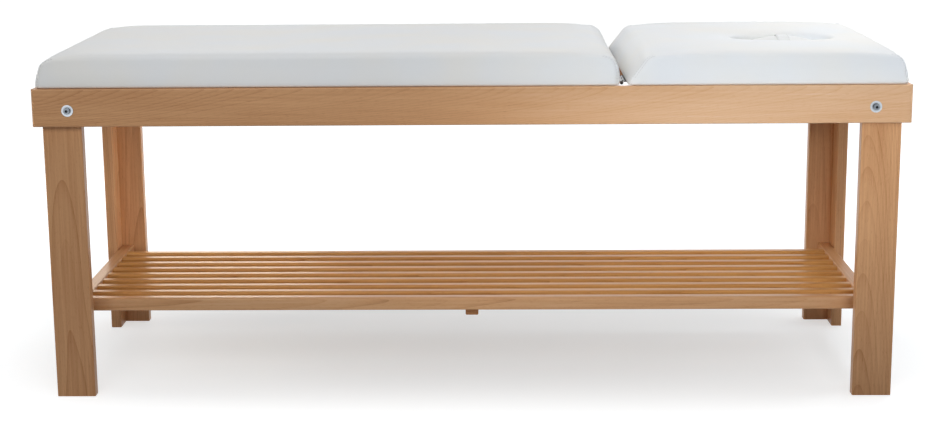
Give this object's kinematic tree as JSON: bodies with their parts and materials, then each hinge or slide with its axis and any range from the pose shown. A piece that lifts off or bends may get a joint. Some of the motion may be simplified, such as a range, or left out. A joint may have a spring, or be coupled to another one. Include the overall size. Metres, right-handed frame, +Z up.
{
  "type": "medical exam table",
  "caption": "Wooden treatment table with a long padded cushion, a tilting head section with a plugged face hole, and a slatted shelf between angle-section legs.",
  "frame": {"origin": "on the floor under the middle of the table", "axes": "+X along the table towards the head end, +Y across it towards the rear, +Z up"},
  "size_m": [1.9692, 0.6692, 0.7899],
  "materials": {
    "beech": "satin lacquer",
    "beech_pale": "satin lacquer",
    "plywood": "raw sanded",
    "foam": "open cell",
    "vinyl": "satin leatherette",
    "zinc_steel": "bright zinc"
  },
  "bodies": {
    "table": {"front_rail": "beech", "rear_rail": "beech", "foot_end_rail": "beech", "head_end_rail": "beech", "hinge_cross_rail": "beech", "middle_cross_rail": "beech", "foot_cross_rail": "beech", "cross_rail_dowels": "beech_pale", "leg_front_foot_side": "beech", "leg_front_foot_end": "beech", "leg_front_head_side": "beech", "leg_front_head_end": "beech", "leg_rear_foot_side": "beech", "leg_rear_foot_end": "beech", "leg_rear_head_side": "beech", "leg_rear_head_end": "beech", "rail_bolts": "zinc_steel", "rail_bolt_washers": "zinc_steel", "rail_bolt_nuts": "zinc_steel", "shelf_slat_1": "beech_pale", "shelf_slat_2": "beech_pale", "shelf_slat_3": "beech_pale", "shelf_slat_4": "beech_pale", "shelf_slat_5": "beech_pale", "shelf_slat_6": "beech_pale", "shelf_slat_7": "beech_pale", "shelf_slat_8": "beech_pale", "shelf_slat_9": "beech_pale", "shelf_batten_foot": "beech", "shelf_batten_head": "beech", "shelf_batten_middle": "beech", "shelf_dowels": "beech_pale", "main_panel": "plywood", "main_foam": "foam", "main_cover": "vinyl", "rack_front": "beech", "rack_rear": "beech", "hinge_front_main_leaf": "zinc_steel", "hinge_rear_main_leaf": "zinc_steel", "hinge_pins": "zinc_steel"},
    "head_section": {"hinge_front_head_leaf": "zinc_steel", "hinge_rear_head_leaf": "zinc_steel", "head_panel": "plywood", "head_foam": "foam", "head_cover": "vinyl", "prop_bracket_front": "zinc_steel", "prop_bracket_rear": "zinc_steel", "prop_pins": "zinc_steel"},
    "prop": {"prop_arm_front": "beech", "prop_arm_rear": "beech", "prop_stretcher": "beech_pale", "prop_peg_front": "beech_pale", "prop_peg_rear": "beech_pale"},
    "plug": {"plug_base": "plywood", "plug_foam": "foam", "plug_cover": "vinyl", "plug_strap": "vinyl"}
  },
  "joints": [
    {"name": "head_tilt", "type": "hinge", "parent": "table", "child": "head_section", "pos_m": [0.3415, 0, 0.716], "axis": [0, -1, 0], "range_deg": [0, 38]},
    {"name": "prop_swing", "type": "hinge", "parent": "head_section", "child": "prop", "pos_m": [0.5815, 0, 0.704], "axis": [0, 1, 0], "range_deg": [0, 76]},
    {"name": "plug_lift", "type": "slide", "parent": "head_section", "child": "plug", "axis": [0, 0, 1], "range_m": [0, 0.12]}
  ],
  "couplings": [
    {"joint": "prop_swing", "follows": "head_tilt", "ratio": 2}
  ]
}
